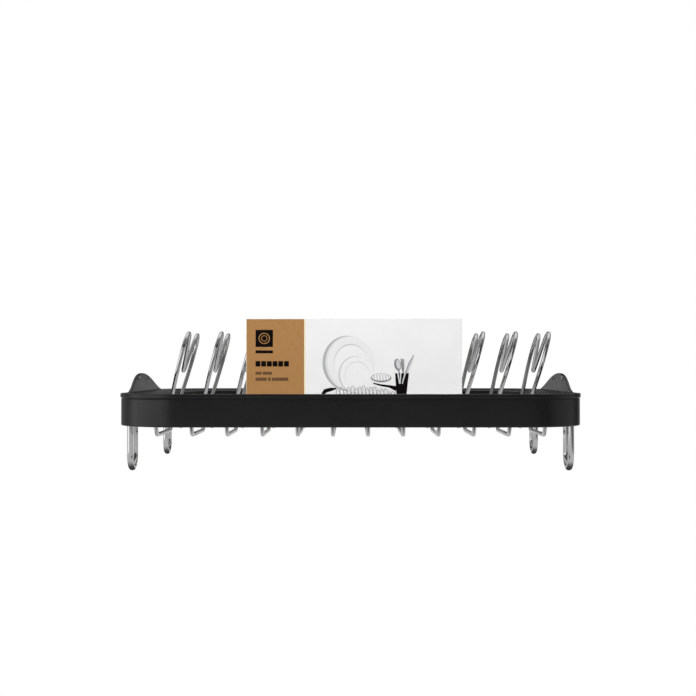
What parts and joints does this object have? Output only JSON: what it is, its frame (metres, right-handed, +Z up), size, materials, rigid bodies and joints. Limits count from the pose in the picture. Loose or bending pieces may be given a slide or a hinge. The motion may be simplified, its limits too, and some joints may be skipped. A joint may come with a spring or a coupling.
{
  "type": "dish drying rack",
  "caption": "Compact dish drying rack: moulded ring with raised end handles, leaning wire plate fins, wire loop feet and a lift-off display card.",
  "frame": {"origin": "centre of the footprint, on the surface the four wire feet stand on", "axes": "+X to the right along the length, the way the fins lean; +Y to the back; +Z up"},
  "size_m": [0.359, 0.277, 0.1198],
  "materials": {
    "ring": "fine satin black moulding",
    "wire": "bright nickel plate",
    "card": "printed paperboard"
  },
  "bodies": {
    "rack": {"frame_ring": "ring", "rim_wire": "wire", "plate_fin_01": "wire", "plate_fin_02": "wire", "plate_fin_03": "wire", "plate_fin_04": "wire", "plate_fin_05": "wire", "plate_fin_06": "wire", "plate_fin_07": "wire", "plate_fin_08": "wire", "plate_fin_09": "wire", "plate_fin_10": "wire", "plate_fin_11": "wire", "plate_fin_12": "wire", "tie_wire_front": "wire", "tie_wire_rear": "wire", "foot_front_left": "wire", "foot_front_right": "wire", "foot_rear_left": "wire", "foot_rear_right": "wire"},
    "card": {"display_card": "card"}
  },
  "joints": [
    {"name": "card_lift", "type": "slide", "parent": "rack", "child": "card", "axis": [0, 0, 1], "range_m": [0, 0.12]}
  ]
}
